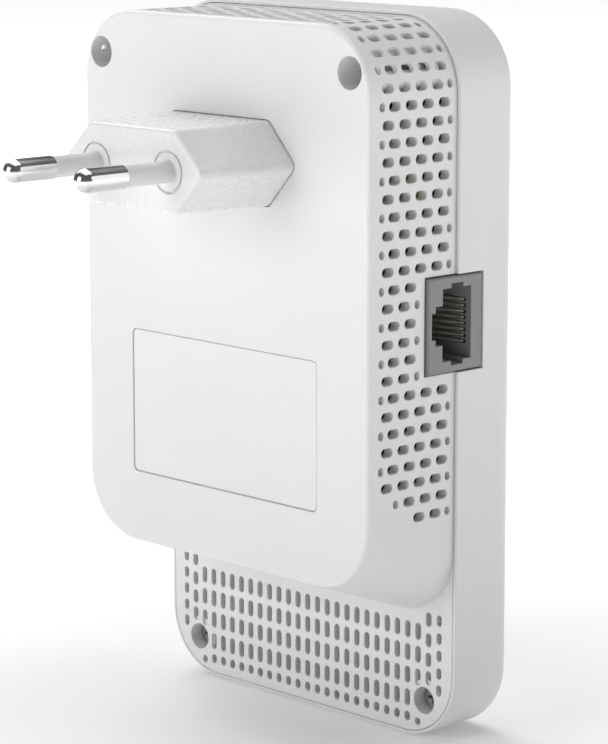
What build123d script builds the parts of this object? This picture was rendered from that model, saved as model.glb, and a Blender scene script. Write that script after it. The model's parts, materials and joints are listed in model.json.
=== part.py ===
from build123d import *
import math
import os

os.makedirs("parts", exist_ok=True)

# Powerline adapter.  Millimetres.  +Z is up on the wall, +Y points into the wall socket (the plug pins),
# the front cover faces -Y.  The origin is on the plug's engagement face, midway between the two pins.

# --- plug (two-pin Europlug proportions) ---
PLUG_L = 20.0                 # engagement face to the rear face of the housing
PLUG_TIP = (17.6, 10.7, 6.85)     # hexagon at the engagement face: vertex, flat half widths, half height
PLUG_ROOT = (18.48, 11.91, 7.24)  # the same where it leaves the inside of the wall
PIN_R, PIN_CORE_R, SLEEVE_R, PIN_BURIED_R = 2.0, 1.5, 1.84, 1.75
PIN_X = 9.0                   # half the pin spacing
PIN_L, SLEEVE_L = 19.4, 9.9

# --- housing shells ---
WALL = 2.0
Y_FACE = -PLUG_L              # rear face
DEPTH_BLOCK = 20.6
Y_SEAM = Y_FACE - DEPTH_BLOCK
Y_FRONT = -54.9
Y_INSIDE = Y_FRONT + WALL
COVER_HALF, COVER_TOP, COVER_BOT = 36.3, 25.0, -100.6
COVER_R, COVER_R_BOT = 13.0, 12.0
LIP, LIP_DEPTH, LIP_GAP = 0.6, 1.2, 0.1
BLOCK_HALF, BLOCK_TOP, BLOCK_BOT, BLOCK_R = 35.6, 23.9, -70.6, 12.0
BOTTOM_SLOPE = 7.5 / DEPTH_BLOCK  # the block's underside drops this much per mm of depth
FRONT_ROUND = 3.0

# --- screws ---
TOP_SCREWS = [(-31.0, 16.3), (31.0, 16.3)]
BOT_SCREWS = [(-29.0, -93.8), (29.0, -93.8)]
TOP_WELL_R, BOT_WELL_R, WELL_WALL = 2.75, 2.4, 1.3
TOP_WELL_FLOOR, BOT_WELL_FLOOR, FLOOR_T = -36.0, -44.6, 2.0
SHANK_R, PILOT_R, PASS_R = 1.25, 1.3, 1.6

# --- vents ---
SIDE_Y0, SIDE_PITCH, ROW_PITCH = -24.37, 3.894, 3.017
ROW_Z0 = 13.82                # height of side row 0
SLOT_L, SLOT_W = 2.7, 1.6
SMALL_L, SMALL_W = 1.5, 1.2
SIDE_ROWS = 24
LOW_PITCH = 2.5               # lower panel columns

# --- network jack, outer box and opening ---
JACK_X = (-36.3, -16.3)
JACK_Y = (-46.5, -33.4)
JACK_Z = (-34.65, -18.4)
JACK_MID_Z = -26.53
JACK_GAP = 0.25
CONTACT_PITCH = 1.02

# --- boards ---
LOGIC_Y = (-48.1, -46.5)
LOGIC = dict(x=(-32.0, 32.0), z=(-88.0, 11.0))
POWER_Y = (-39.4, -37.8)
POWER = dict(x=(-31.5, 31.5), z=(-62.0, 11.0))
SHEET_T = 0.3
LOGIC_POSTS = [(-27.0, 5.0), (27.0, 5.0), (-27.0, -82.0), (27.0, -82.0)]
POWER_POSTS = [(-28.0, 6.0), (28.0, 6.0), (-28.0, -58.0), (28.0, -58.0)]

# --- controls on the front ---
BUTTONS = {"pair": (0.0, -26.0), "wifi": (0.0, -44.0)}
CAP_R, CAP_GAP, FLANGE_R = 5.5, 0.2, 7.0
LED_X = (-7.0, 0.0, 7.0)
LED_Z = -4.0
LED_R = 1.1


def span(x, y, z):
    """Box from three (low, high) ranges."""
    c = [(a + b) / 2 for a, b in (x, y, z)]
    return Pos(*c) * Box(x[1] - x[0], y[1] - y[0], z[1] - z[0])


def rod_y(x, z, r, y0, y1):
    return Pos(x, (y0 + y1) / 2, z) * Rot(90, 0, 0) * Cylinder(r, abs(y1 - y0))


def rod_x(y, z, r, x0, x1):
    return Pos((x0 + x1) / 2, y, z) * Rot(0, 90, 0) * Cylinder(r, abs(x1 - x0))


def rod_z(x, y, r, z0, z1):
    return Pos(x, y, (z0 + z1) / 2) * Cylinder(r, abs(z1 - z0))


def tube_y(x, z, r_out, r_in, y0, y1):
    return rod_y(x, z, r_out, y0, y1) - rod_y(x, z, r_in, y0, y1)


def outline(half, z0, z1, r, r_bot=None):
    """Rounded rectangle in X-Z, with its own radius at the bottom corners if one is given."""
    if r_bot is None:
        return Pos(0, (z0 + z1) / 2) * RectangleRounded(2 * half, z1 - z0, r)
    return outline(half, z0 - 60, z1, r) & outline(half, z0, z1 + 60, r_bot)


def cover_outline(inset):
    """The front cover's outline, shrunk by inset."""
    return outline(COVER_HALF - inset, COVER_BOT + inset, COVER_TOP - inset,
                   COVER_R - inset, COVER_R_BOT - inset)


def slab(sketch, y_back, y_front):
    """Extrude an X-Z sketch from y_back towards the front cover, down to y_front."""
    return extrude(Plane.XZ.offset(-y_back) * sketch, amount=y_back - y_front)


def wire(points, r):
    """Round wire through a list of points, with ball corners."""
    body = None
    for a, b in zip(points, points[1:]):
        a, b = Vector(*a), Vector(*b)
        seg = extrude(Plane(origin=a, z_dir=b - a) * Circle(r), amount=(b - a).length)
        body = seg if body is None else body + seg
    for p in points[1:-1]:
        body = body + Pos(*p) * Sphere(r)
    return body


def slot(at, normal, long_dir, length, width, depth):
    """Stadium-shaped cutter centred on a wall; its long side follows long_dir."""
    sk = SlotOverall(length, width) if length > width * 1.001 else Circle(width / 2)
    return extrude(Plane(origin=at, x_dir=long_dir, z_dir=normal) * sk, amount=depth, both=True)


def save(shape, name):
    if isinstance(shape, (list, tuple)):
        shape = Compound(children=list(shape))
    export_step(shape, f"parts/{name}.step")


# ------------------------------------------------------------------ rear housing

def block_solid(inset, y_back, y_front):
    """The raised rear block, shrunk by inset: straight sides, rounded corners, sloping underside."""
    half, r = BLOCK_HALF - inset, BLOCK_R - inset
    up = slab(outline(half, -130, BLOCK_TOP - inset, r), y_back, y_front)
    slope = math.hypot(1, BOTTOM_SLOPE)
    bottom = BLOCK_BOT + inset * slope - BOTTOM_SLOPE * (Y_FACE - y_back)
    sk = Plane.XZ.offset(-y_back) * outline(half, bottom, 150, r)
    down = extrude(sk, amount=(y_back - y_front) * slope, dir=(0, -1, -BOTTOM_SLOPE))
    return up & down


def wall_frame(s):
    """Point and outward normal on the block's side wall, measured up the wall from the corner's start.
    Negative s is the straight side, then the corner arc, then the top wall."""
    cx, cz, r = BLOCK_HALF - BLOCK_R, BLOCK_TOP - BLOCK_R, BLOCK_R
    arc = r * math.pi / 2
    if s <= 0:
        return (BLOCK_HALF, cz + s), (1, 0)
    if s < arc:
        a = s / r
        return (cx + r * math.cos(a), cz + r * math.sin(a)), (math.cos(a), math.sin(a))
    return (cx - (s - arc), BLOCK_TOP), (0, 1)


def row_columns(row, beside_jack):
    """(position along the depth in pitches, is it a full slot) for one vent row."""
    if row % 2 == 0:
        cols = [(0, True), (1, True), (2, True), (3, True), (3.75, False)]
    else:
        cols = [(-0.37, False), (0.38, True), (1.38, True), (2.38, True), (3.38, True)]
    if beside_jack:
        keep = 1.5
        cols = [c for c in cols if c[0] < keep] + ([(1.8, False)] if row % 2 == 0 else [])
    if row == SIDE_ROWS - 1:
        cols = [(0.55, False)] + cols[2:]
    if row == SIDE_ROWS:
        cols = cols[2:]
    return cols


def side_vents():
    cuts = []
    half_run = (BLOCK_HALF - BLOCK_R) + BLOCK_R * math.pi / 2
    s0 = ROW_Z0 - (BLOCK_TOP - BLOCK_R)
    top_rows = round((half_run - s0) / ROW_PITCH)
    top_pitch = (half_run - s0) / top_rows
    for row in range(-top_rows, SIDE_ROWS + 1):
        s = s0 - row * (ROW_PITCH if row > 0 else top_pitch)
        (px, pz), (nx, nz) = wall_frame(s)
        for side in (-1, 1):
            if row == -top_rows and side == 1:
                continue
            jack_here = side == -1 and 11 <= row <= 16
            for k, full in row_columns(row, jack_here):
                at = (side * px, SIDE_Y0 - k * SIDE_PITCH, pz)
                n = (side * nx, 0, nz)
                if full:
                    cuts.append(slot(at, n, (0, 1, 0), SLOT_L, SLOT_W, 2.6))
                else:
                    across = (-nz * side, 0, nx)
                    cuts.append(slot(at, n, across, SMALL_L, SMALL_W, 2.6))
    return cuts


def underside_vents():
    """Staggered slots in the sloping underside of the block."""
    cuts = []
    down = Vector(0, -1, -BOTTOM_SLOPE).normalized()
    normal = Vector(0, BOTTOM_SLOPE, -1).normalized()
    start = Vector(0, Y_FACE, BLOCK_BOT)
    for i in range(-7, 8):
        shift = 0.0 if i % 2 == 0 else 0.5
        for k in range(4):
            at = start + down * (4.6 + (k + shift) * SIDE_PITCH) + Vector(i * ROW_PITCH, 0, 0)
            if k + shift > 3.2:
                continue
            cuts.append(slot(at, normal, down, SLOT_L, SLOT_W, 2.6))
    return cuts


def lower_panel_vents():
    cuts = []

    def add(i, z, length, width=1.3):
        at = (i * LOW_PITCH, Y_SEAM - 1, z)
        cuts.append(slot(at, (0, 1, 0), (0, 0, 1), length, width, 2.4))

    for i in range(-11, 12):
        edge = abs(i) == 11
        for z in (-81.7, -85.8, -89.9, -94.0)[:3 if edge else 4]:
            add(i, z, 3.0)
        add(i, -97.4 if not edge else -97.9, 1.7 if not edge else 1.4)
    for side in (-1, 1):
        for z in (-79.1, -82.8, -86.3, -89.6):
            add(side * 12, z, 2.5)
        for z in (-78.9, -82.05, -85.15, -88.3, -91.35):
            add(side * 13, z, 2.0, 1.15)
    return cuts


def hexagon(v, t, h, grow=0.0, r=1.4):
    v, t, h = v + grow, t + grow * 0.6, h + grow
    sk = Polygon((v, 0), (t, h), (-t, h), (-v, 0), (-t, -h), (t, -h), align=None)
    return fillet(sk.vertices(), r)


def jack_notch(grow):
    """Space kept for the network jack, through the side walls."""
    return span((JACK_X[0] - 3, JACK_X[1] + 1), (JACK_Y[0] - grow, JACK_Y[1] + grow),
                (JACK_Z[0] - grow, JACK_Z[1] + grow))


LABEL = dict(half=23.4, z=(-58.0, -32.1), depth=0.45, t=0.3, gap=0.2)


def rear_housing():
    outer = block_solid(0, Y_FACE, Y_SEAM)
    rim = outer.faces().sort_by(Axis.Y)[-1].edges()
    outer = fillet(rim, 0.8)
    plate = slab(cover_outline(LIP + LIP_GAP), Y_SEAM, Y_SEAM - LIP_DEPTH + LIP_GAP)
    inner = slab(cover_outline(WALL + 0.3), Y_SEAM - 1.0, Y_SEAM - 1.8)
    inner = inner & span((-40, 40), (-50, -40), (-110, BLOCK_BOT))
    body = outer + plate + inner
    body = body - block_solid(WALL, Y_FACE - WALL, Y_SEAM - 4)
    body = body - (side_vents() + underside_vents() + lower_panel_vents())
    for x, z in TOP_SCREWS:
        body = body + (rod_y(x, z, TOP_WELL_R + WELL_WALL, Y_FACE - 1, TOP_WELL_FLOOR - FLOOR_T)
                       & block_solid(0.9, Y_FACE - 1, Y_SEAM))
        body = body - rod_y(x, z, TOP_WELL_R, Y_FACE + 1, TOP_WELL_FLOOR)
        body = body - rod_y(x, z, PASS_R, Y_FACE, Y_SEAM - 4)
    for x, z in BOT_SCREWS:
        body = body + (rod_y(x, z, BOT_WELL_R + WELL_WALL, Y_SEAM - 0.5, BOT_WELL_FLOOR - FLOOR_T)
                       & slab(cover_outline(WALL + 0.1), Y_SEAM - 0.5, Y_INSIDE))
        body = body - rod_y(x, z, BOT_WELL_R, Y_SEAM + 1, BOT_WELL_FLOOR)
        body = body - rod_y(x, z, PASS_R, Y_SEAM, BOT_WELL_FLOOR - 3)
    for x, z in POWER_POSTS:
        body = body + rod_y(x, z, 2.8, Y_FACE - WALL + 0.5, POWER_Y[1])
        body = body - rod_y(x, z, PILOT_R, Y_FACE - WALL - 6, POWER_Y[1] - 1)
    body = body - jack_notch(JACK_GAP)
    body = body - slab(hexagon(*PLUG_ROOT, grow=0.1), Y_FACE + 1, Y_FACE - WALL - 1)
    half, (z0, z1) = LABEL["half"], LABEL["z"]
    body = body - slab(outline(half, z0, z1, 1.0), Y_FACE + 1, Y_FACE - LABEL["depth"])
    return body


def rating_label():
    half, (z0, z1), g = LABEL["half"], LABEL["z"], LABEL["gap"]
    y = Y_FACE - LABEL["depth"]
    return slab(outline(half - g, z0 + g, z1 - g, 0.9), y + LABEL["t"], y)


# ------------------------------------------------------------------ plug

FLANGE_Y = (-24.0, -22.0)


def plug_body():
    shell = loft([Plane.XZ.offset(22.0) * hexagon(*PLUG_ROOT), Plane.XZ * hexagon(*PLUG_TIP)], ruled=True)
    shell = fillet(shell.faces().sort_by(Axis.Y)[-1].edges(), 0.5)
    body = shell + slab(RectangleRounded(44, 22, 3), FLANGE_Y[1], FLANGE_Y[0])
    for s in (-1, 1):
        x = s * PIN_X
        body = body - rod_y(x, 0, PIN_BURIED_R, 1, -4)
        body = body - rod_y(x, 0, PIN_CORE_R, 1, -30)
        body = body - tube_y(x, 0, 3.6, 3.25, 1, -0.3)
    return body


def plug_pin(x):
    pin = rod_y(x, 0, PIN_CORE_R, FLANGE_Y[0], SLEEVE_L + 1)
    pin = pin + rod_y(x, 0, PIN_R, SLEEVE_L, PIN_L - PIN_R) + Pos(x, PIN_L - PIN_R, 0) * Sphere(PIN_R)
    return pin + rod_y(x, 0, 2.6, FLANGE_Y[0], FLANGE_Y[0] - 1.5)


def pin_sleeve(x):
    return tube_y(x, 0, SLEEVE_R, PIN_CORE_R, SLEEVE_L, 0) + tube_y(x, 0, PIN_BURIED_R, PIN_CORE_R, 0, -4)


def contact_strap(x):
    """Bent brass strap from the back of a pin to the power board."""
    y0 = FLANGE_Y[0] - 1.5
    head = span((x - 2.5, x + 2.5), (y0 - 0.8, y0), (-3, 3))
    leg = span((x - 1.5, x + 1.5), (POWER_Y[1], y0), (2.2, 3.0))
    foot = span((x - 1.5, x + 1.5), (POWER_Y[1], POWER_Y[1] + 0.8), (2.2, 6.0))
    return head + leg + foot


# ------------------------------------------------------------------ front cover and controls

def front_cover():
    outer = slab(cover_outline(0), Y_SEAM, Y_FRONT)
    outer = fillet(outer.faces().sort_by(Axis.Y)[0].edges(), FRONT_ROUND)
    outer = fillet(outer.faces().sort_by(Axis.Y)[-1].outer_wire().edges(), 0.25)
    hollow = slab(cover_outline(WALL), Y_SEAM + 1, Y_INSIDE)
    rebate = slab(cover_outline(LIP), Y_SEAM + 1, Y_SEAM - LIP_DEPTH)
    body = outer - hollow - rebate
    y_clip = Y_SEAM - LIP_DEPTH - 0.1
    for x, z in TOP_SCREWS:
        y_end = TOP_WELL_FLOOR - FLOOR_T
        high = rod_y(x, z, 3.2, y_clip, y_end) & block_solid(WALL + 0.15, Y_FACE - 4, Y_SEAM - 4)
        low = rod_y(x, z, 3.2, Y_INSIDE - 0.5, y_clip) & slab(cover_outline(WALL - 0.5), Y_SEAM, Y_FRONT)
        body = body + high + low - rod_y(x, z, PILOT_R, y_end + 1, Y_INSIDE)
    for x, z in BOT_SCREWS:
        y_end = BOT_WELL_FLOOR - FLOOR_T
        boss = rod_y(x, z, 3.2, Y_INSIDE - 0.5, y_end) & slab(cover_outline(WALL - 0.5), Y_SEAM, Y_FRONT)
        body = body + boss - rod_y(x, z, PILOT_R, y_end + 1, Y_INSIDE)
    for x, z in LOGIC_POSTS:
        body = body + tube_y(x, z, 2.6, PILOT_R - 0.2, Y_INSIDE - 0.5, LOGIC_Y[0])
        body = body - rod_y(x, z, PILOT_R - 0.2, LOGIC_Y[0] + 1, Y_INSIDE)
    body = body - jack_notch(JACK_GAP)
    for x, z in BUTTONS.values():
        body = body - rod_y(x, z, CAP_R + CAP_GAP, Y_FRONT - 1, Y_INSIDE + 1)
    for x in LED_X:
        body = body - rod_y(x, LED_Z, LED_R + 0.03, Y_FRONT - 1, Y_INSIDE + 1)
    return body


def button(x, z):
    cap = rod_y(x, z, CAP_R, Y_FRONT + 0.2, Y_INSIDE + 0.5)
    cap = fillet(cap.faces().sort_by(Axis.Y)[0].edges(), 0.5)
    flange = rod_y(x, z, FLANGE_R, Y_INSIDE + 0.05, Y_INSIDE + 0.95)
    return cap + flange


SWITCH_TOP = LOGIC_Y[0] - 3.0
PLUNGER_TIP = Y_INSIDE + 1.0


def switch_body(x, z):
    body = span((x - 3, x + 3), (SWITCH_TOP, LOGIC_Y[0]), (z - 3, z + 3))
    body = body - rod_y(x, z, 1.8, SWITCH_TOP - 1, LOGIC_Y[0] - 0.9)
    for sx in (-1, 1):
        for sz in (-2.25, 2.25):
            tab = span(sorted((x + sx * 3, x + sx * 4)), (LOGIC_Y[0] - 0.4, LOGIC_Y[0]),
                       (z + sz - 0.4, z + sz + 0.4))
            body = body + tab
    return body


def switch_plunger(x, z):
    return rod_y(x, z, 1.7, PLUNGER_TIP, LOGIC_Y[0] - 1.5)


def light_pipe():
    bar = span((LED_X[0] - 2, LED_X[-1] + 2), (Y_INSIDE, Y_INSIDE + 1.2), (LED_Z - 2, LED_Z + 2))
    for x in LED_X:
        bar = bar + rod_y(x, LED_Z, LED_R, Y_FRONT, LOGIC_Y[0] - 1.2)
    return bar


def led(x):
    body = span((x - 1.2, x + 1.2), (LOGIC_Y[0] - 0.5, LOGIC_Y[0]), (LED_Z - 0.8, LED_Z + 0.8))
    return body + span((x - 0.7, x + 0.7), (LOGIC_Y[0] - 1.0, LOGIC_Y[0] - 0.5), (LED_Z - 0.7, LED_Z + 0.7))


# ------------------------------------------------------------------ screws

def screw(x, z, y_seat, length, head_r, head_h, shank_r, toward=1):
    """Pan-head screw; the head lies on the y_seat side given by toward, the shank goes the other way."""
    head = rod_y(x, z, head_r, y_seat, y_seat + toward * head_h)
    far = head.faces().sort_by(Axis.Y)[-1 if toward > 0 else 0]
    head = fillet(far.edges(), head_h * 0.35)
    top = y_seat + toward * head_h
    cross = (span((x - 1.3, x + 1.3), sorted((top, top - toward * 0.9)), (z - 0.3, z + 0.3))
             + span((x - 0.3, x + 0.3), sorted((top, top - toward * 0.9)), (z - 1.3, z + 1.3)))
    shank = rod_y(x, z, shank_r, y_seat, y_seat - toward * length)
    return head - cross + shank


# ------------------------------------------------------------------ network jack

def jack_housing():
    body = span(JACK_X, JACK_Y, JACK_Z)
    body = chamfer(body.faces().sort_by(Axis.X)[0].edges(), 0.25)
    x_in = (JACK_X[0] - 1, JACK_X[0] + 12.0)
    m = JACK_MID_Z
    body = body - span(x_in, (-43.7, -36.8), (m - 6.18, m + 6.18))
    body = body - span(x_in, (-41.8, -38.9), (m - 6.95, m + 6.95))
    body = body - span(x_in, (-36.9, -35.1), (m - 3.35, m + 3.35))
    body = body - span(x_in, (-35.2, -34.2), (m - 2.25, m + 2.25))
    for i in range(8):
        z = m + (i - 3.5) * CONTACT_PITCH
        body = body - span((JACK_X[0] + 1.2, JACK_X[0] + 12.0), (-44.6, -43.6), (z - 0.32, z + 0.32))
    return body


def jack_contact(i):
    """Sprung contact: rises from the channel near the mouth to the back of the opening."""
    z = JACK_MID_Z + (i - 3.5) * CONTACT_PITCH
    x0 = JACK_X[0]
    return wire([(x0 + 11.9, -44.2, z), (x0 + 2.4, -44.2, z), (x0 + 2.0, -43.8, z), (x0 + 10.6, -41.5, z)], 0.23)


# ------------------------------------------------------------------ power board and its parts

def on_power(x, z, size_x, size_z, height, lift=0.0):
    """Box standing on the component side of the power board."""
    return span((x - size_x / 2, x + size_x / 2), (POWER_Y[1] + lift, POWER_Y[1] + lift + height),
                (z - size_z / 2, z + size_z / 2))


def can(x, z, r, height):
    """Upright electrolytic capacitor with a rolled groove and a soft top edge."""
    body = rod_y(x, z, r, POWER_Y[1], POWER_Y[1] + height)
    body = fillet(body.faces().sort_by(Axis.Y)[-1].edges(), 0.6)
    return body - tube_y(x, z, r + 1, r - 0.35, POWER_Y[1] + 1.4, POWER_Y[1] + 2.2)


def power_board():
    body = span(POWER["x"], POWER_Y, POWER["z"])
    body = body - jack_notch(1.2)
    for x, z in POWER_POSTS:
        body = body - rod_y(x, z, 1.45, POWER_Y[0] - 1, POWER_Y[1] + 1)
    return body - span(CONN_X, (POWER_Y[0] - 1, POWER_Y[1] + 1), CONN_Z)


CONN_X, CONN_Z = (16.0, 26.2), (-52.6, -47.4)
TX = (-4.0, -49.0)            # transformer centre
CHOKE = (21.0, -25.0)


def transformer_core():
    """E-core pair: centre leg along the depth, two outer legs, closed at both ends."""
    x, z = TX
    y0 = POWER_Y[1] + 2.0
    core = span((x - 8.4, x + 8.4), (y0, y0 + 12.4), (z - 2.5, z + 2.5))
    for s in (-1, 1):
        a, b = sorted((x + s * 2.2, x + s * 6.2))
        core = core - span((a, b), (y0 + 2.2, y0 + 10.2), (z - 3, z + 3))
    return core


def around_leg(x, z, y, half_x, half_z, r):
    return slab(Pos(x, z) * RectangleRounded(2 * half_x, 2 * half_z, r), y[1], y[0])


def transformer_bobbin():
    x, z = TX
    y0 = POWER_Y[1]
    spool = around_leg(x, z, (y0 + 4.2, y0 + 12.2), 2.9, 3.3, 0.5)
    for y in ((y0 + 4.2, y0 + 5.0), (y0 + 11.4, y0 + 12.2)):
        spool = spool + around_leg(x, z, y, 6.1, 7.4, 1.0)
    spool = spool - span((x - 2.2, x + 2.2), (y0, y0 + 20), (z - 2.5, z + 2.5))
    for s in (-1, 1):
        spool = spool + span((x - 6.0, x + 6.0), (y0 + 1.0, y0 + 5.0), sorted((z + s * 4.6, z + s * 7.4)))
        for i in range(4):
            px = x - 4.5 + 3 * i
            spool = spool + rod_y(px, z + s * 6.2, 0.35, y0, y0 + 1.2)
    return spool


def transformer_winding():
    x, z = TX
    y = (POWER_Y[1] + 5.0, POWER_Y[1] + 11.4)
    return around_leg(x, z, y, 5.5, 6.4, 2.0) - around_leg(x, z, (y[0] - 1, y[1] + 1), 2.9, 3.3, 0.5)


def choke_core():
    x, z = CHOKE
    ring = rod_z(x, POWER_Y[1] + 6.6, 5.8, z - 2.6, z + 2.6) - rod_z(x, POWER_Y[1] + 6.6, 3.0, z - 4, z + 4)
    return ring


def choke_base():
    x, z = CHOKE
    return on_power(x, z, 12.0, 9.0, 0.8)


def choke_windings():
    """Two wound halves of the ring, each modelled as wrapped turns."""
    x, z = CHOKE
    yc = POWER_Y[1] + 6.6
    out = []
    for side in (0, 180):
        turns = []
        for k in range(7):
            a = math.radians(side - 54 + 18 * k)
            cx, cy = x + 4.4 * math.cos(a), yc + 4.4 * math.sin(a)
            outer = Pos(cx, cy, z) * Rot(0, 0, math.degrees(a)) * Box(4.0, 0.72, 6.6)
            inner = Pos(cx, cy, z) * Rot(0, 0, math.degrees(a)) * Box(2.9, 2.0, 5.3)
            turns.append(outer - inner)
        out += turns
    return out


def pair_of_legs(x, z, dx, r, height):
    return [rod_y(x + s * dx, z, r, POWER_Y[1], POWER_Y[1] + height) for s in (-1, 1)]


def disc_part(x, z, r, t, lift):
    """Coated disc standing on two legs."""
    y = POWER_Y[1] + lift + r
    disc = rod_z(x, y, r, z - t / 2, z + t / 2)
    disc = fillet(disc.edges().filter_by(GeomType.CIRCLE), t * 0.3)
    for leg in pair_of_legs(x, z, r * 0.5, 0.35, lift + 1.2):
        disc = disc + leg
    return disc


def boxed(x, z, sx, sz, height, leg_dx):
    body = on_power(x, z, sx, sz, height - 0.6, lift=0.6)
    body = fillet(body.faces().sort_by(Axis.Y)[-1].edges(), 0.5)
    for leg in pair_of_legs(x, z, leg_dx, 0.4, 0.8):
        body = body + leg
    return body


def dip(x, z, sx, sz, height, pins, pitch):
    """Small moulded package with short legs down both long sides."""
    body = on_power(x, z, sx, sz, height - 0.5, lift=0.5)
    for i in range(pins):
        px = x + (i - (pins - 1) / 2) * pitch
        for s in (-1, 1):
            a, b = sorted((z + s * (sz / 2 - 0.3), z + s * (sz / 2 + 0.5)))
            body = body + on_power(px, (a + b) / 2, 0.6, b - a, 1.6)
    return body


def heatsink():
    base = on_power(-14.5, -8.0, 1.6, 15, 12.5)
    for k in range(5):
        base = base + on_power(-17.7, -14.6 + 3.3 * k, 5.0, 1.0, 12.5)
    return base


def switching_transistor():
    x = -14.5 + 0.8 + 1.2
    body = on_power(x, -8.0, 2.4, 6.6, 6.6, lift=3.6)
    for dz in (-2.3, 0, 2.3):
        body = body + on_power(x + 0.3, -8.0 + dz, 0.5, 0.9, 3.8)
    return body


# ------------------------------------------------------------------ logic board and its parts

def on_logic(x, z, sx, sz, height, lift=0.0):
    """Box on the rear-facing side of the logic board."""
    return span((x - sx / 2, x + sx / 2), (LOGIC_Y[1] + lift, LOGIC_Y[1] + lift + height),
                (z - sz / 2, z + sz / 2))


def logic_board():
    body = span(LOGIC["x"], LOGIC_Y, LOGIC["z"])
    for x, z in LOGIC_POSTS:
        body = body - rod_y(x, z, 1.25, LOGIC_Y[0] - 1, LOGIC_Y[1] + 1)
    return body


def flat_pack(x, z, size, height, pins, pitch):
    """Square package with gull-wing legs on four sides."""
    body = on_logic(x, z, size, size, height - 0.1, lift=0.1)
    for i in range(pins):
        o = (i - (pins - 1) / 2) * pitch
        for s in (-1, 1):
            e = s * (size / 2 + 0.4)
            body = body + on_logic(x + e, z + o, 1.0, 0.25, 0.3) + on_logic(x + o, z + e, 0.25, 1.0, 0.3)
    return body


def heat_spreader():
    """Finned aluminium plate over the powerline chip."""
    x, z = CHIP
    y = LOGIC_Y[1] + 1.5
    base = span((x - 9, x + 9), (y, y + 1.0), (z - 9, z + 9))
    for k in range(7):
        base = base + span((x - 8.6 + 2.7 * k, x - 7.6 + 2.7 * k), (y + 1.0, y + 3.6), (z - 9, z + 9))
    return base


CHIP = (8.0, -20.0)
WIFI = (12.0, -70.0)


def shield_can(x, z, sx, sz, h):
    body = on_logic(x, z, sx, sz, h)
    body = fillet(body.edges().filter_by(Axis.Y), 1.0)
    body = body - on_logic(x, z, sx - 0.6, sz - 0.6, h - 0.3)
    for i in (-1, 0, 1):
        for k in (-1, 0, 1):
            body = body - rod_y(x + 4 * i, z + 4 * k, 0.5, LOGIC_Y[1] + h - 1, LOGIC_Y[1] + h + 1)
    return body


def scatter_parts(spots, sx, sz, h):
    return [on_logic(x, z, sx, sz, h) for x, z in spots]


def antenna(side):
    """Flat stamped antenna on the inside of the cover's lower end."""
    a, b = sorted((side * 3.0, side * 23.0))
    plate = span((a, b), (Y_INSIDE, Y_INSIDE + 0.4), (-97.6, -91.0))
    for k in range(3):
        s = sorted((side * (7.0 + 5 * k), side * (8.2 + 5 * k)))
        z0 = (-98, -92.6) if k % 2 == 0 else (-96.0, -90.0)
        plate = plate - span(s, (Y_INSIDE - 1, Y_INSIDE + 1), z0)
    return plate


def antenna_lead(side):
    x1 = side * 4.6
    x2 = WIFI[0] - 6 + side * 2.5
    y = LOGIC_Y[1] + 1.0
    return wire([(x1, Y_INSIDE + 1.0, -92.0), (x1, Y_INSIDE + 1.0, -90.2), (x1, y, -89.4),
                 (x2, y, -84.0), (x2, y, WIFI[1] - 9.2)], 0.6)


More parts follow.
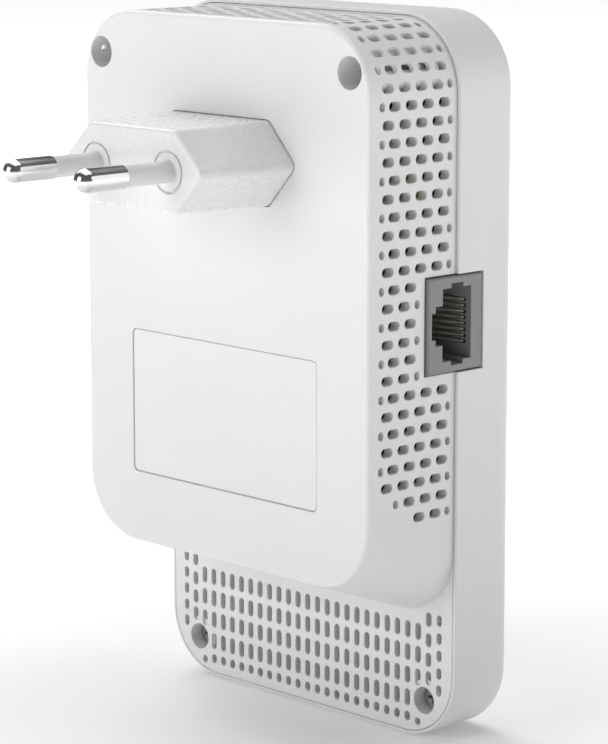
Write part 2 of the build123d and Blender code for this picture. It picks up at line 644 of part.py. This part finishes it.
def main():
    save(rear_housing(), "rear_housing")
    save(front_cover(), "front_cover")
    save(plug_body(), "plug_body")
    sides = (-PIN_X, PIN_X)
    save([plug_pin(x) for x in sides], "plug_pins")
    save([pin_sleeve(x) for x in sides], "pin_sleeves")
    save([contact_strap(x) for x in sides], "contact_straps")
    save(rating_label(), "rating_label")
    save([screw(x, z, TOP_WELL_FLOOR, 12.0, 2.4, 1.8, SHANK_R) for x, z in TOP_SCREWS], "top_screws")
    save([screw(x, z, BOT_WELL_FLOOR, 7.0, 2.2, 1.6, SHANK_R) for x, z in BOT_SCREWS], "bottom_screws")
    save([screw(x, z, POWER_Y[0], 8.0, 2.2, 1.2, 1.2, toward=-1) for x, z in POWER_POSTS],
         "power_board_screws")
    save([screw(x, z, LOGIC_Y[1], 5.6, 2.0, 1.2, 1.05) for x, z in LOGIC_POSTS], "logic_board_screws")

    save(jack_housing(), "jack_housing")
    save([jack_contact(i) for i in range(8)], "jack_contacts")

    save(power_board(), "power_board")
    sheet = span((-31, 31), (POWER_Y[0] - SHEET_T, POWER_Y[0]), (-61.5, 10.5)) - jack_notch(1.6)
    for x, z in POWER_POSTS:
        sheet = sheet - rod_y(x, z, 2.6, POWER_Y[0] - 1, POWER_Y[1])
    sheet = sheet - span((CONN_X[0] - 0.4, CONN_X[1] + 0.4), (POWER_Y[0] - 1, POWER_Y[1]),
                         (CONN_Z[0] - 0.4, CONN_Z[1] + 0.4))
    save(sheet, "insulation_sheet")
    save(transformer_core(), "transformer_core")
    save(transformer_bobbin(), "transformer_bobbin")
    save(transformer_winding(), "transformer_winding")
    save(choke_core(), "choke_core")
    save(choke_base(), "choke_base")
    save(choke_windings(), "choke_windings")
    save([can(25.5, -38.6, 5.0, 14.6), can(14.0, -38.6, 5.0, 14.6)], "bulk_capacitors")
    save([can(-20.0, -44.0, 4.0, 12.0), can(-20.0, -54.0, 4.0, 12.0)], "output_capacitors")
    save(boxed(5.0, -17.0, 15.0, 7.0, 12.0, 5.0), "x_capacitor")
    save(boxed(-27.0, -5.0, 6.5, 13.0, 10.0, 2.0), "coupling_capacitor")
    save(boxed(22.5, -4.0, 5.0, 9.0, 8.0, 1.6), "fuse")
    save(disc_part(21.0, -14.0, 4.8, 3.6, 1.2), "varistor")
    save(disc_part(-7.0, -34.0, 3.6, 3.0, 1.2), "safety_capacitor")
    save(dip(5.0, -27.5, 8.6, 6.4, 3.0, 2, 5.08), "bridge_rectifier")
    save(dip(5.0, -58.5, 4.6, 3.0, 3.2, 2, 2.54), "optocoupler")
    save(boxed(-19.0, 6.4, 10.0, 8.5, 9.0, 3.0), "coupling_transformer")
    save(heatsink(), "heatsink")
    save(switching_transistor(), "switching_transistor")

    save(logic_board(), "logic_board")
    x, z = CHIP
    save(flat_pack(x, z, 12.0, 1.2, 14, 0.7), "powerline_chip")
    save(on_logic(x, z, 11.0, 11.0, 0.3, lift=1.2), "thermal_pad")
    save(heat_spreader(), "heat_spreader")
    save(flat_pack(-14.0, -52.0, 9.0, 1.0, 10, 0.75), "analogue_chip")
    save(flat_pack(-14.0, -70.0, 7.0, 0.9, 8, 0.7), "ethernet_chip")
    save(flat_pack(8.0, -38.0, 8.0, 1.1, 9, 0.75), "memory_chip")
    save(on_logic(-1.0, -60.0, 6.0, 5.0, 1.6), "flash_chip")
    save(shield_can(*WIFI, 18.0, 16.0, 2.6), "wifi_shield")
    save(on_logic(*WIFI, 7.0, 7.0, 0.9), "wifi_chip")
    save([on_logic(a, b, 5.0, 3.2, 1.0) for a, b in ((-2.0, -46.0), (-2.0, -76.0))], "crystals")
    save(on_logic(-7.5, -26.5, 9.0, 12.0, 4.4), "network_transformer")
    save(scatter_parts([(24 - 4 * (i % 3), -2 - 5 * (i // 3)) for i in range(9)]
                       + [(-28 + 4 * (i % 3), -62 - 4 * (i // 3)) for i in range(6)], 2.0, 1.25, 0.9),
         "chip_capacitors")
    save(scatter_parts([(-6.0 - 7 * i, 4.0) for i in range(3)] + [(24.0, -60.0), (27.0, -70.0)],
                       4.6, 4.6, 2.4), "power_inductors")

    cx, cz = (CONN_X[0] + CONN_X[1]) / 2, (CONN_Z[0] + CONN_Z[1]) / 2
    socket = span((cx - 6.4, cx + 6.4), (LOGIC_Y[1], LOGIC_Y[1] + 4.2), (cz - 2.5, cz + 2.5))
    pins = []
    for i in range(5):
        for s in (-1.27, 1.27):
            px = cx + (i - 2) * 2.0
            socket = socket - rod_y(px, cz + s, 0.4, LOGIC_Y[1] + 1.0, LOGIC_Y[1] + 5)
            pins.append(rod_y(px, cz + s, 0.36, POWER_Y[1] + 1.0, LOGIC_Y[1] + 1.4))
    header = span(CONN_X, (POWER_Y[0] - 2.2, POWER_Y[1] + 1.6), CONN_Z)
    for i in range(5):
        for s in (-1.27, 1.27):
            header = header - rod_y(cx + (i - 2) * 2.0, cz + s, 0.36, POWER_Y[0] - 3, POWER_Y[1] + 1.0)
    save(socket, "board_socket")
    save(header, "board_header")
    save(pins, "header_pins")

    save([led(x) for x in LED_X], "leds")
    save(light_pipe(), "light_pipe")
    save([switch_body(*p) for p in BUTTONS.values()], "switch_bodies")
    for name, p in BUTTONS.items():
        save(button(*p), f"{name}_button")
        save(switch_plunger(*p), f"{name}_switch_plunger")

    save([antenna(-1), antenna(1)], "antennas")
    save([antenna_lead(-1), antenna_lead(1)], "antenna_leads")


main()
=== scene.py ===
import json
import math

import bpy
from mathutils import Matrix, Vector


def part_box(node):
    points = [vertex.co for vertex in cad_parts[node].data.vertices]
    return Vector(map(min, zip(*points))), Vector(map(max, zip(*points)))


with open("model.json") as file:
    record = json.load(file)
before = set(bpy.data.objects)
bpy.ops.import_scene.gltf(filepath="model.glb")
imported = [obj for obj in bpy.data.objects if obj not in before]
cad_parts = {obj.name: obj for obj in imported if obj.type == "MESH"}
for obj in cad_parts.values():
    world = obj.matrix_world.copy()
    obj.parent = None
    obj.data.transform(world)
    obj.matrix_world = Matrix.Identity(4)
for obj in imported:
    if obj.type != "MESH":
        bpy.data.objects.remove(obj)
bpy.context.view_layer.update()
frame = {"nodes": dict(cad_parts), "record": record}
nodes = frame["nodes"]
slot_of = {s["node"]: s["material_slot"] for s in frame["record"]["subparts"]}

# ------------------------------------------------------------------ materials


class Mat:
    """A procedural material built up in steps: base colour with a little variation, roughness, and bump."""

    def __init__(self, name, color, rough, metal=0.0, **sockets):
        self.m = bpy.data.materials.new(name)
        self.m.use_nodes = True
        self.tree = self.m.node_tree
        self.bsdf = next(n for n in self.tree.nodes if n.type == "BSDF_PRINCIPLED")
        self.bsdf.inputs["Base Color"].default_value = (*color, 1)
        self.bsdf.inputs["Roughness"].default_value = rough
        self.bsdf.inputs["Metallic"].default_value = metal
        for k, v in sockets.items():
            self.bsdf.inputs[k.replace("_", " ")].default_value = v
        self.color, self.rough, self.last_normal = color, rough, None
        self.where = self.tree.nodes.new("ShaderNodeTexCoord").outputs["Object"]

    def node(self, kind, **settings):
        n = self.tree.nodes.new(kind)
        for k, v in settings.items():
            setattr(n, k, v)
        return n

    def link(self, a, b):
        self.tree.links.new(a, b)

    def mapped(self, **vectors):
        """Object coordinates scaled or turned by the given Mapping inputs."""
        mapping = self.node("ShaderNodeMapping")
        for k, v in vectors.items():
            mapping.inputs[k].default_value = v
        self.link(self.where, mapping.inputs["Vector"])
        return mapping.outputs["Vector"]

    def noise(self, scale, detail=3.0, rough=0.55, stretch=None):
        n = self.node("ShaderNodeTexNoise")
        n.inputs["Scale"].default_value = scale
        n.inputs["Detail"].default_value = detail
        n.inputs["Roughness"].default_value = rough
        self.link(self.mapped(Scale=stretch) if stretch else self.where, n.inputs["Vector"])
        return n.outputs["Fac"]

    def remap(self, value, lo, hi, from_lo=0.35, from_hi=0.65):
        r = self.node("ShaderNodeMapRange")
        r.inputs["From Min"].default_value, r.inputs["From Max"].default_value = from_lo, from_hi
        r.inputs["To Min"].default_value, r.inputs["To Max"].default_value = lo, hi
        self.link(value, r.inputs["Value"])
        return r.outputs["Result"]

    def vary_color(self, scale, amount):
        """Mixes the colour with a slightly darker one by noise."""
        mix = self.node("ShaderNodeMix", data_type="RGBA")
        mix.inputs[6].default_value = (*self.color, 1)
        mix.inputs[7].default_value = (*[c * (1 - amount) for c in self.color], 1)
        self.link(self.remap(self.noise(scale), 0, 1), mix.inputs[0])
        self.link(mix.outputs[2], self.bsdf.inputs["Base Color"])
        return self

    def vary_rough(self, scale, amount, stretch=None):
        lo, hi = max(0.02, self.rough - amount), min(1, self.rough + amount)
        self.link(self.remap(self.noise(scale, stretch=stretch), lo, hi), self.bsdf.inputs["Roughness"])
        return self

    def use_normal(self, socket):
        self.last_normal = socket
        self.link(socket, self.bsdf.inputs["Normal"])
        return self

    def bump(self, height, strength, distance):
        """Adds relief on top of any before it; strength is a number or a socket."""
        b = self.node("ShaderNodeBump")
        if isinstance(strength, float):
            b.inputs["Strength"].default_value = strength
        else:
            self.link(strength, b.inputs["Strength"])
        b.inputs["Distance"].default_value = distance
        self.link(height, b.inputs["Height"])
        if self.last_normal is not None:
            self.link(self.last_normal, b.inputs["Normal"])
        return self.use_normal(b.outputs["Normal"])

    def soft_edges(self, radius):
        """Rounds sharp edges in the shading only."""
        b = self.node("ShaderNodeBevel", samples=4)
        b.inputs["Radius"].default_value = radius
        return self.use_normal(b.outputs["Normal"])

    def axis_band(self, axis, edge, width):
        """0 below edge and 1 above it along one object axis, in metres."""
        split = self.node("ShaderNodeSeparateXYZ")
        self.link(self.where, split.inputs[0])
        return self.remap(split.outputs[axis], 0, 1, edge - width, edge + width)


REAR_FACE_Y = -0.02035    # just inside the rear face, along the plug's axis
GRAIN_ON_WALLS, GRAIN_ON_REAR = 0.16, 0.05


def shell(name, color, rough):
    """Moulded housing plastic: spark-eroded grain everywhere but on the smooth rear face."""
    m = Mat(name, color, rough, Specular_IOR_Level=0.42, Subsurface_Weight=0.12,
            Subsurface_Radius=(0.0012, 0.0011, 0.0010), Subsurface_Scale=1.0)
    m.vary_color(45.0, 0.012)
    m.vary_rough(900.0, 0.05)
    m.soft_edges(0.00028)
    grain = m.noise(3600.0, detail=2.0, rough=0.6)
    on_rear = m.axis_band("Y", REAR_FACE_Y, 0.0001)
    m.bump(grain, m.remap(on_rear, GRAIN_ON_WALLS, GRAIN_ON_REAR, 0.0, 1.0), 0.00012)
    m.bump(m.noise(26.0, detail=1.0), 0.04, 0.0008)
    return m.m


def plastic(name, color, rough, grain=2500.0, depth=0.08, var=0.03, edge=0.0002, **sockets):
    """Plain moulded or coated plastic with a fine grain."""
    m = Mat(name, color, rough, **sockets)
    m.vary_color(120.0, var).vary_rough(700.0, 0.06)
    m.soft_edges(edge)
    return m.bump(m.noise(grain, detail=2.0), depth, 0.0001).m


def metal(name, color, rough, stretch=(1, 1, 1), scratch=0.05, edge=0.0):
    """Plated or drawn metal; stretch sets the direction of its fine marks."""
    m = Mat(name, color, rough, metal=1.0)
    m.vary_color(160.0, 0.06).vary_rough(900.0, rough * 0.35, stretch=stretch)
    if edge:
        m.soft_edges(edge)
    return m.bump(m.noise(2200.0, detail=2.0, stretch=stretch), scratch, 0.00004).m


def circuit_board(name, color):
    """Solder mask over a field of copper tracks, with a woven-glass ripple."""
    m = Mat(name, color, 0.38, Coat_Weight=0.35)
    tracks = m.node("ShaderNodeTexBrick", offset=0.5, squash=1.0)
    m.link(m.mapped(Rotation=(math.pi / 2, 0, 0)), tracks.inputs["Vector"])
    tracks.inputs["Scale"].default_value = 260.0
    tracks.inputs["Mortar Size"].default_value = 0.06
    tracks.inputs["Color1"].default_value = (*color, 1)
    tracks.inputs["Color2"].default_value = (*[c * 0.8 for c in color], 1)
    tracks.inputs["Mortar"].default_value = (*[min(1, c * 1.9 + 0.01) for c in color], 1)
    m.link(tracks.outputs["Color"], m.bsdf.inputs["Base Color"])
    m.vary_rough(400.0, 0.08)
    return m.bump(m.noise(1500.0, detail=1.0), 0.1, 0.00008).m


def clear(name, color, rough, weight):
    """Clear moulded resin; weight is how much light it lets through."""
    m = Mat(name, color, rough, IOR=1.5, Transmission_Weight=weight)
    m.vary_rough(300.0, 0.04)
    return m.bump(m.noise(500.0, detail=1.0), 0.05, 0.0001).m


def grey(value):
    return (value, value, value)


MATS = {
    # seen from outside
    "white_shell": shell("shell_white", grey(0.80), 0.42),
    "button_white": shell("button_satin", grey(0.76), 0.36),
    "white_plug": plastic("plug_white", grey(0.79), 0.28, grain=300.0, depth=0.004, var=0.006,
                          edge=0.0003, Specular_IOR_Level=0.5, Coat_Weight=0.15),
    "pin_metal": metal("pin_nickel", (0.74, 0.74, 0.73), 0.16, stretch=(1, 0.08, 1), scratch=0.02),
    "sleeve_grey": plastic("sleeve", grey(0.72), 0.34, grain=300.0, depth=0.004, var=0.01, edge=0.0001),
    "label_white": plastic("label_film", grey(0.80), 0.36, grain=1500.0, depth=0.02, var=0.01,
                           edge=0.0001),
    "screw_steel": metal("zinc_steel", (0.50, 0.50, 0.51), 0.32, edge=0.0001),
    "jack_grey": plastic("jack_plastic", grey(0.25), 0.42, depth=0.04, edge=0.00015),
    "contact_gold": metal("contact_plating", (0.78, 0.74, 0.66), 0.45, scratch=0.02),
    "pipe_clear": clear("light_pipe_clear", (0.92, 0.94, 0.95), 0.1, 0.85),
    # inside
    "brass_strap": metal("strap_brass", (0.72, 0.52, 0.22), 0.28),
    "board_green": circuit_board("solder_mask", (0.012, 0.055, 0.032)),
    "sheet_clear": plastic("film", (0.42, 0.41, 0.36), 0.25, depth=0.02),
    "ferrite": plastic("ferrite_black", (0.045, 0.045, 0.05), 0.55, depth=0.2, grain=1200.0),
    "bobbin_black": plastic("bobbin", grey(0.03), 0.45),
    "tape_yellow": plastic("tape", (0.52, 0.38, 0.06), 0.3, depth=0.05, grain=600.0),
    "copper_wire": metal("enamelled_copper", (0.55, 0.22, 0.09), 0.3),
    "cap_sleeve": plastic("can_sleeve", (0.03, 0.035, 0.05), 0.3, depth=0.04),
    "cap_film_yellow": plastic("box_capacitor", (0.45, 0.34, 0.08), 0.38),
    "disc_blue": plastic("dipped_epoxy", (0.03, 0.10, 0.28), 0.25, depth=0.15, grain=500.0),
    "chip_black": plastic("mould_compound", (0.025, 0.025, 0.028), 0.5, depth=0.12),
    "tin_can": metal("tin_plate", (0.62, 0.62, 0.61), 0.3, edge=0.0001),
    "alloy": metal("extruded_alloy", (0.62, 0.63, 0.64), 0.36, stretch=(1, 1, 0.05), scratch=0.12),
    "pad_grey": plastic("thermal_pad_grey", (0.17, 0.19, 0.22), 0.75, depth=0.2),
    "ceramic_tan": plastic("fired_ceramic", (0.30, 0.22, 0.13), 0.42),
    "led_white": clear("led_resin", (0.9, 0.9, 0.75), 0.12, 0.5),
    "switch_black": plastic("switch_moulding", grey(0.05), 0.42),
    "lead_grey": plastic("coax_jacket", (0.08, 0.08, 0.085), 0.5),
}

for name, ob in nodes.items():
    ob.data.materials.clear()
    ob.data.materials.append(MATS[slot_of[name]])

# ------------------------------------------------------------------ floor

COVER_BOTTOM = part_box("front_cover")[0].z
FLOOR_HALF, FLOOR_CLEARANCE = 9.0, 0.0002
GLOW_CENTRE = (0, -0.04, COVER_BOTTOM)
GLOW_NEAR, GLOW_FAR = 0.15, 0.82      # emission beside the object and away from it
GLOW_FROM, GLOW_TO = 0.05, 0.30       # distances over which it rises


def studio_surface():
    """White paper with a painted glow that rises away from the object. The weaker glow beside it is painted
    shade round the object, added to its soft cast shadow, and the glow also lights the object from below.
    """
    m = Mat("studio_paper", grey(0.80), 0.9, Specular_IOR_Level=0.1)
    m.bsdf.inputs["Emission Color"].default_value = (1, 1, 1, 1)
    away = m.node("ShaderNodeVectorMath", operation="DISTANCE")
    away.inputs[1].default_value = GLOW_CENTRE
    m.link(m.where, away.inputs[0])
    # painted glow: emission grows with distance from the object, leaving painted shade beside it
    glow = m.remap(away.outputs["Value"], GLOW_NEAR, GLOW_FAR, GLOW_FROM, GLOW_TO)
    m.link(glow, m.bsdf.inputs["Emission Strength"])
    m.vary_color(2.0, 0.004).bump(m.noise(300.0), 0.03, 0.0003)
    return m.m


def floor_sheet():
    """A wide floor that fills the view; the object stands on it on its lower edge."""
    z, h = COVER_BOTTOM - FLOOR_CLEARANCE, FLOOR_HALF
    mesh = bpy.data.meshes.new("floor")
    mesh.from_pydata([(-h, -h, z), (h, -h, z), (h, h, z), (-h, h, z)], [], [(0, 1, 2, 3)])
    ob = bpy.data.objects.new("floor", mesh)
    bpy.context.scene.collection.objects.link(ob)
    mesh.materials.append(studio_surface())


floor_sheet()

# ------------------------------------------------------------------ camera and lights

CAMERA_AT = Vector((-0.37686, 0.32421, 0.05793))
FORWARD = Vector((0.7072, -0.6829, -0.183)).normalized()
RIGHT = Vector((-0.6946, -0.7194, 0)).normalized()
UP = RIGHT.cross(FORWARD)
LENS, SENSOR = 145.8, 36.0
CENTRE = Vector((0, -0.03, -0.04))    # what the lights aim at
WORLD_STRENGTH = 0.12


def from_camera(right, up, back):
    """A point placed relative to the object in camera directions, in metres."""
    level = Vector((FORWARD.x, FORWARD.y, 0)).normalized()
    return CENTRE + RIGHT * right + Vector((0, 0, 1)) * up - level * back


def area(name, at, size, power):
    """Square area light aimed at the object."""
    light = bpy.data.lights.new(name, "AREA")
    light.energy, light.size, light.color = power, size, (1, 1, 1)
    ob = bpy.data.objects.new(name, light)
    bpy.context.scene.collection.objects.link(ob)
    ob.location = at
    ob.rotation_euler = (CENTRE - at).to_track_quat("-Z", "Y").to_euler()


area("key", from_camera(-0.95, 0.35, 0.55), 0.6, 5.1)
area("top", from_camera(0.1, 1.3, -0.1), 1.4, 9.0)
area("side", from_camera(1.1, 0.3, 0.1), 0.8, 2.2)
area("back", from_camera(-0.4, 0.9, -0.8), 0.8, 7.5)

world = bpy.data.worlds.new("studio")
world.use_nodes = True
background = next(n for n in world.node_tree.nodes if n.type == "BACKGROUND")
background.inputs["Color"].default_value = (1, 1, 1, 1)
background.inputs["Strength"].default_value = WORLD_STRENGTH
bpy.context.scene.world = world

lens = bpy.data.cameras.new("camera")
lens.lens, lens.sensor_width, lens.sensor_fit = LENS, SENSOR, "AUTO"
lens.clip_start, lens.clip_end = 0.01, 20
lens.dof.use_dof = False
camera = bpy.data.objects.new("camera", lens)
bpy.context.scene.collection.objects.link(camera)
turn = Matrix((RIGHT, UP, -FORWARD)).transposed()
camera.matrix_world = Matrix.Translation(CAMERA_AT) @ turn.to_4x4()
bpy.context.scene.camera = camera

view = bpy.context.scene.view_settings
view.view_transform, view.look, view.exposure = "Standard", "None", 0.0
